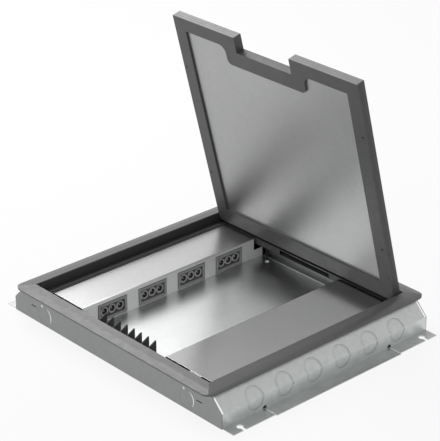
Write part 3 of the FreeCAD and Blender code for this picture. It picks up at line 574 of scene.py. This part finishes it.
                # painted shade: a black disc and rim inside the relief hole
                hole = Vector((side * WEB_X, end * FOOT_SPLIT, SHEET + 1.5))
                rod(relief_hole_shade, hole - Vector((side * 0.4, 0, 0)), (-side, 0, 0), RELIEF_R, 0.5,
                    0.1)
                sweep(relief_hole_shade, arc(hole, (0, side, 0), (0, 0, 1), 4.9, -6, 186, 24),
                      chamfered(1.9, 0.35, 0.15))
                # painted highlights: near-white rims round the keyhole and along the foot slit
                key = (side * KEYHOLE[0], end * KEYHOLE[1], SHEET)
                sweep(painted_highlight_bars, arc(key, (side, 0, 0), (0, side, 0), 7.7, 38, 322),
                      chamfered(1.2, 0.25, 0.15))
                for edge in (-1, 1):
                    y = end * FOOT_SPLIT + edge * 1.1
                    bar(painted_highlight_bars, (side * (WEB_X + 3), y, SHEET), (side * (WEB_X + 34), y, SHEET),
                        (0, 0, 1), 0.7, 0.15, 0.1)
        mesh_object("bend_painted_highlights", line, bend_highlight, "box")
        mesh_object("gap_and_slit_painted_highlights", painted_highlight_bars, bright, "box")
        mesh_object("relief_hole_painted_shade", relief_hole_shade, dark, "box")


class FLOORBOX_OT_compartments(bpy.types.Operator):
    """Finish the two compartment covers"""

    bl_idname = "floorbox.compartments"
    bl_label = "Compartment covers"

    def execute(self, context):
        finish, size = settings(context)
        # painted light: the power cover's upright face is painted paler
        cover = sheet_metal("cover sheet", tuple(finish.cover_sheet), finish.cover_rough,
                            spangle=0.015, grain=(8, 0.6, 8), blotch=0.02, matt=0.75,
                            upright_painted_light=0.9)
        dress(("power_compartment_cover",), cover, size.sheet_edge)
        # painted shade: the data cover is a slightly darker copy of the cover sheet
        wide = sheet_metal("wide cover sheet painted shade", tuple(0.97 * c for c in finish.cover_sheet),
                           0.75 * finish.cover_rough, spangle=0.015, grain=(8, 0.6, 8),
                           blotch=0.02)
        dress(("data_compartment_cover",), wide, size.sheet_edge)
        # painted highlight: a near-white bead along the foot of each cover face
        foot_highlights = bmesh.new()
        for x, side in ((POWER_FACE, 1), (DATA_FACE, -1)):
            bar(foot_highlights, (x + side * 0.6, -268, SHEET), (x + side * 0.6, 262, SHEET), (0, 0, 1),
                1.2, 0.9, 0.4)
        mesh_object("cover_foot_painted_highlights", foot_highlights, bright_metal("cover foot painted highlight", (0.85, 0.85, 0.85)),
                    "box")
        return {"FINISHED"}


class FLOORBOX_OT_outlets(bpy.types.Operator):
    """Finish the outlet bezels, socket blocks and blanking plates"""

    bl_idname = "floorbox.outlets"
    bl_label = "Outlets"

    def execute(self, context):
        finish, size = settings(context)
        colour = tuple(finish.outlet_plastic)
        bezel = moulding("bezel plastic", colour)
        dark = moulding("socket plastic", tuple(0.26 * c for c in colour), 0.4)
        for n in range(1, 5):
            dress(("socket_bezel_%d" % n, "blanking_plate_%d" % n), bezel, size.plastic_edge)
        dress(("socket_blocks",), dark)
        self.sockets(moulding("socket rim plastic", tuple(1.5 * c for c in colour), 0.35), dark)
        self.outlines(dark)
        return {"FINISHED"}

    def sockets(self, plastic, dark):
        """Raised rims, keyways and contact sleeves of the round sockets."""
        rims, sleeves, pins = bmesh.new(), bmesh.new(), bmesh.new()
        for mid in OUTLET_Y:
            for k in (-1, 0, 1):
                y = mid + k * SOCKET_PITCH
                ring(rims, (BLOCK_FACE, y, OUTLET_Z), (0, 1, 0), (0, 0, 1), SOCKET_R - 0.2,
                     SOCKET_R + 2.8, 1.8, 0.5)
                low = OUTLET_Z - SOCKET_R
                bar(rims, (BLOCK_FACE - 9, y, low), (BLOCK_FACE + 0.6, y, low), (0, 0, 1), 2.4, 1.2,
                    0.3)
                for turn in CONTACTS:
                    t = math.radians(turn)
                    foot = (BLOCK_FACE - SOCKET_DEPTH, y + CONTACT_R * math.cos(t),
                            OUTLET_Z + CONTACT_R * math.sin(t))
                    rod(sleeves, foot, (1, 0, 0), 2.1, 9.5, 0.4, 16)
                    rod(pins, (foot[0] + 9.4, foot[1], foot[2]), (1, 0, 0), 1.2, 0.5, 0.15, 12)
        mesh_object("socket_rims", rims, plastic, "box")
        mesh_object("socket_sleeves", sleeves, plastic, "box")
        mesh_object("socket_contacts", pins, bright_metal("tinned contact", (0.7, 0.68, 0.62)),
                    "box")

    def outlines(self, dark):
        """Dark bars painted round the bezels and blanking plates as the shade in their gaps."""
        bm = bmesh.new()
        wide, high = BEZEL[0] + 1.0, BEZEL[1] + 1.0
        for mid in OUTLET_Y:
            for x, side in ((POWER_FACE, 1), (DATA_FACE, -1)):
                outline_bars(bm, (x, mid, OUTLET_Z), (0, side, 0), (0, 0, 1), wide, high, 1.0, 0.7,
                             0.2)
        mesh_object("outlet_painted_shadow_gaps", bm, dark, "box")


class FLOORBOX_OT_hardware(bpy.types.Operator):
    """Finish the levelling gear, keys, pins and screws, with threads, slots and rims"""

    bl_idname = "floorbox.hardware"
    bl_label = "Hardware"

    def execute(self, context):
        zinc = bright_metal("zinc plate", (0.62, 0.62, 0.60))
        dress(("levelling_feet", "levelling_nuts", "corner_keys", "hinge_pins"), zinc)
        black = bright_metal("blackened steel", (0.03, 0.03, 0.03), 0.4)
        dress(("lid_screws", "levelling_screws"), black)
        threads, slots = bmesh.new(), bmesh.new()
        for sx in (1, -1):
            for sy in (1, -1):
                x, y = sx * LEVEL_AT[0], sy * LEVEL_AT[1]
                thread(threads, (x, y, 5.2), LEVEL_R - 0.02, 0.8, 32.0, 0.03)
                top = LEVEL_TOP - 0.05
                bar(slots, (x - 1.8, y, top), (x + 1.8, y, top), (0, 0, 1), 0.7, 0.1, 0.03)
        mesh_object("levelling_threads", threads, black, "box")
        mesh_object("levelling_slots", slots, zinc, "box")
        heads = bmesh.new()
        for x, y in LID_SCREWS:
            for side in (1, -1):
                ring(heads, (side * x, y, LID_UNDER + 0.3), (0, 1, 0), (1, 0, 0), 1.5, 2.8, 0.25,
                     0.1)
        bmesh.ops.transform(heads, matrix=swung(), verts=heads.verts)
        mesh_object("lid_screw_rims", heads, black, "lid")
        return {"FINISHED"}


class FLOORBOX_OT_trim(bpy.types.Operator):
    """Finish the trim rails, seat frame, seal and cable comb"""

    bl_idname = "floorbox.trim"
    bl_label = "Trim and seat"

    def execute(self, context):
        finish, size = settings(context)
        dress(["trim_rail_" + s for s in ("front", "right", "rear", "left")],
              powder_coat("trim coat", tuple(finish.trim_coat), 0.38), size.coat_edge, 3)
        dress(("seat_frame",), powder_coat("ledge coat", tuple(finish.ledge_coat), 0.5),
              size.sheet_edge)
        dress(("lid_seal",), rubber("seal rubber", tuple(finish.comb_rubber)))
        dress(("cable_comb",), rubber("comb rubber", tuple(finish.comb_rubber)),
              size.plastic_edge)
        return {"FINISHED"}


class FLOORBOX_OT_lid(bpy.types.Operator):
    """Finish the lid frame, plate, board and pan"""

    bl_idname = "floorbox.lid"
    bl_label = "Lid"

    def execute(self, context):
        finish, size = settings(context)
        dress(("lid_frame",), powder_coat("lid coat", tuple(finish.lid_coat), 0.45),
              size.coat_edge * 0.35, 2)
        dress(("lid_plate",), sheet_metal("lid sheet", tuple(finish.lid_sheet),
                                          finish.lid_sheet_rough, 0.025, (8, 1, 1), 0.03))
        dress(("lid_pan",), sheet_metal("pan sheet", (0.5, 0.51, 0.51), 0.4, 0.06))
        dress(("lid_core_board",), board("core board", (0.4, 0.39, 0.37)))
        # painted highlight: the edge ribs take a paler copy of the lid coat
        self.edge_rib_highlights(tuple(2.8 * c for c in finish.lid_coat))
        return {"FINISHED"}

    def edge_rib_highlights(self, colour):
        """Ribs of the free edge, either side of the cable notch, painted paler as highlights."""
        ribs = bmesh.new()
        for side in (1, -1):
            for z in EDGING_AT:
                bar(ribs, (side * (NOTCH_HALF + 1), -LID_HALF, z),
                    (side * (LID_HALF - 1), -LID_HALF, z), (0, -1, 0), EDGING, 0.3, 0.1)
        bmesh.ops.transform(ribs, matrix=swung(), verts=ribs.verts)
        mesh_object("lid_edge_rib_highlights", ribs, powder_coat("edge rib painted highlight", colour, 0.4), "lid")


class FLOORBOX_OT_stage(bpy.types.Operator):
    """Lay the floor, hang the lights and place the camera"""

    bl_idname = "floorbox.stage"
    bl_label = "Stage"

    def execute(self, context):
        scene = context.scene
        self.floor()
        self.world(scene)
        self.lamps(scene)
        self.camera(scene)
        scene.view_settings.view_transform = "Standard"
        return {"FINISHED"}

    def seen(self, tree):
        """1 for rays that see a surface directly, in a mirror or through glass."""
        rays = tree.nodes.new("ShaderNodeLightPath")
        total = rays.outputs["Is Camera Ray"]
        for kind in ("Is Glossy Ray", "Is Transmission Ray"):
            add = tree.nodes.new("ShaderNodeMath")
            add.operation = "MAXIMUM"
            tree.links.new(total, add.inputs[0])
            tree.links.new(rays.outputs[kind], add.inputs[1])
            total = add.outputs["Value"]
        return total

    def floor(self):
        bm = bmesh.new()
        bmesh.ops.create_grid(bm, x_segments=1, y_segments=1, size=12.0)
        data = bpy.data.meshes.new("floor")
        bm.to_mesh(data)
        bm.free()
        obj = bpy.data.objects.new("floor", data)
        obj.location = (0, 0, CAD_BOX[0][2] - 0.0002)
        bpy.context.scene.collection.objects.link(obj)
        m = Nodes("pale floor")
        m.bsdf.inputs["Base Color"].default_value = (0.9, 0.9, 0.9, 1)
        m.bsdf.inputs["Roughness"].default_value = 0.9
        glow = m.add("ShaderNodeEmission")
        glow.inputs["Color"].default_value = (1, 1, 1, 1)
        mix = m.add("ShaderNodeMixShader")
        most = m.add("ShaderNodeMath", operation="MULTIPLY")
        m.link(self.seen(m.tree), most.inputs[0])
        most.inputs[1].default_value = FLOOR_GLOW
        m.link(most.outputs["Value"], mix.inputs["Fac"])
        m.link(m.bsdf.outputs["BSDF"], mix.inputs[1])
        m.link(glow.outputs["Emission"], mix.inputs[2])
        m.link(mix.outputs["Shader"], m.out.inputs["Surface"])
        data.materials.append(m.mat)

    def world(self, scene):
        world = bpy.data.worlds.new("studio")
        scene.world = world
        world.use_nodes = True
        tree = world.node_tree
        tree.nodes.clear()
        out = tree.nodes.new("ShaderNodeOutputWorld")
        soft = tree.nodes.new("ShaderNodeBackground")
        soft.inputs["Color"].default_value = (1, 1, 1, 1)
        soft.inputs["Strength"].default_value = SKY_LIGHT
        white = tree.nodes.new("ShaderNodeBackground")
        white.inputs["Color"].default_value = (1, 1, 1, 1)
        white.inputs["Strength"].default_value = 1.0
        mix = tree.nodes.new("ShaderNodeMixShader")
        tree.links.new(self.seen(tree), mix.inputs["Fac"])
        tree.links.new(soft.outputs["Background"], mix.inputs[1])
        tree.links.new(white.outputs["Background"], mix.inputs[2])
        tree.links.new(mix.outputs["Shader"], out.inputs["Surface"])

    def lamps(self, scene):
        for name, place, size, power in LAMPS:
            light = bpy.data.lights.new(name, "AREA")
            light.shape = "SQUARE"
            light.size = size
            light.energy = power
            lamp = bpy.data.objects.new(name, light)
            lamp.location = place
            aim = Vector(LAMP_AIM) - Vector(place)
            lamp.rotation_euler = aim.to_track_quat("-Z", "Y").to_euler()
            scene.collection.objects.link(lamp)

    def camera(self, scene):
        azimuth, elevation = (math.radians(angle) for angle in CAMERA_TURN)
        back = Vector((math.sin(azimuth) * math.cos(elevation),
                       -math.cos(azimuth) * math.cos(elevation), math.sin(elevation)))
        right = Vector((math.cos(azimuth), math.sin(azimuth), 0))
        up = back.cross(right)
        data = bpy.data.cameras.new("camera")
        data.sensor_fit = "HORIZONTAL"
        data.sensor_width = 36.0
        data.lens = CAMERA_LENS
        data.clip_end = 100.0
        cam = bpy.data.objects.new("camera", data)
        turn = Matrix((right, up, back)).transposed().to_4x4()
        place = back * CAMERA_BACK[0] + right * CAMERA_BACK[1] + up * CAMERA_BACK[2]
        cam.matrix_world = Matrix.Translation(place) @ turn
        scene.collection.objects.link(cam)
        scene.camera = cam


class FLOORBOX_PT_panel(bpy.types.Panel):
    """Lists the steps in the 3D view's sidebar"""

    bl_idname = "FLOORBOX_PT_panel"
    bl_label = "Floor box"
    bl_space_type = "VIEW_3D"
    bl_region_type = "UI"
    bl_category = "Floor box"

    def draw(self, context):
        for step in STEPS:
            self.layout.operator(step.bl_idname)
        finish, size = settings(context)
        for group in (finish, size):
            for key in group.bl_rna.properties.keys():
                if key not in ("rna_type", "name"):
                    self.layout.prop(group, key)


STEPS = (FLOORBOX_OT_outer_box, FLOORBOX_OT_compartments, FLOORBOX_OT_outlets,
         FLOORBOX_OT_hardware, FLOORBOX_OT_trim, FLOORBOX_OT_lid, FLOORBOX_OT_stage)
CLASSES = (FloorBoxFinish, FloorBoxSizes) + STEPS + (FLOORBOX_PT_panel,)


def register():
    for cls in CLASSES:
        bpy.utils.register_class(cls)
    bpy.types.Scene.floor_box_finish = bpy.props.PointerProperty(type=FloorBoxFinish)
    bpy.types.Scene.floor_box_sizes = bpy.props.PointerProperty(type=FloorBoxSizes)


def unregister():
    del bpy.types.Scene.floor_box_sizes
    del bpy.types.Scene.floor_box_finish
    for cls in reversed(CLASSES):
        bpy.utils.unregister_class(cls)


def main():
    register()
    for step in STEPS:
        group, call = step.bl_idname.split(".")
        if getattr(getattr(bpy.ops, group), call)() != {"FINISHED"}:
            raise RuntimeError("step did not finish: " + step.bl_idname)


if __name__ == "__main__":
    main()
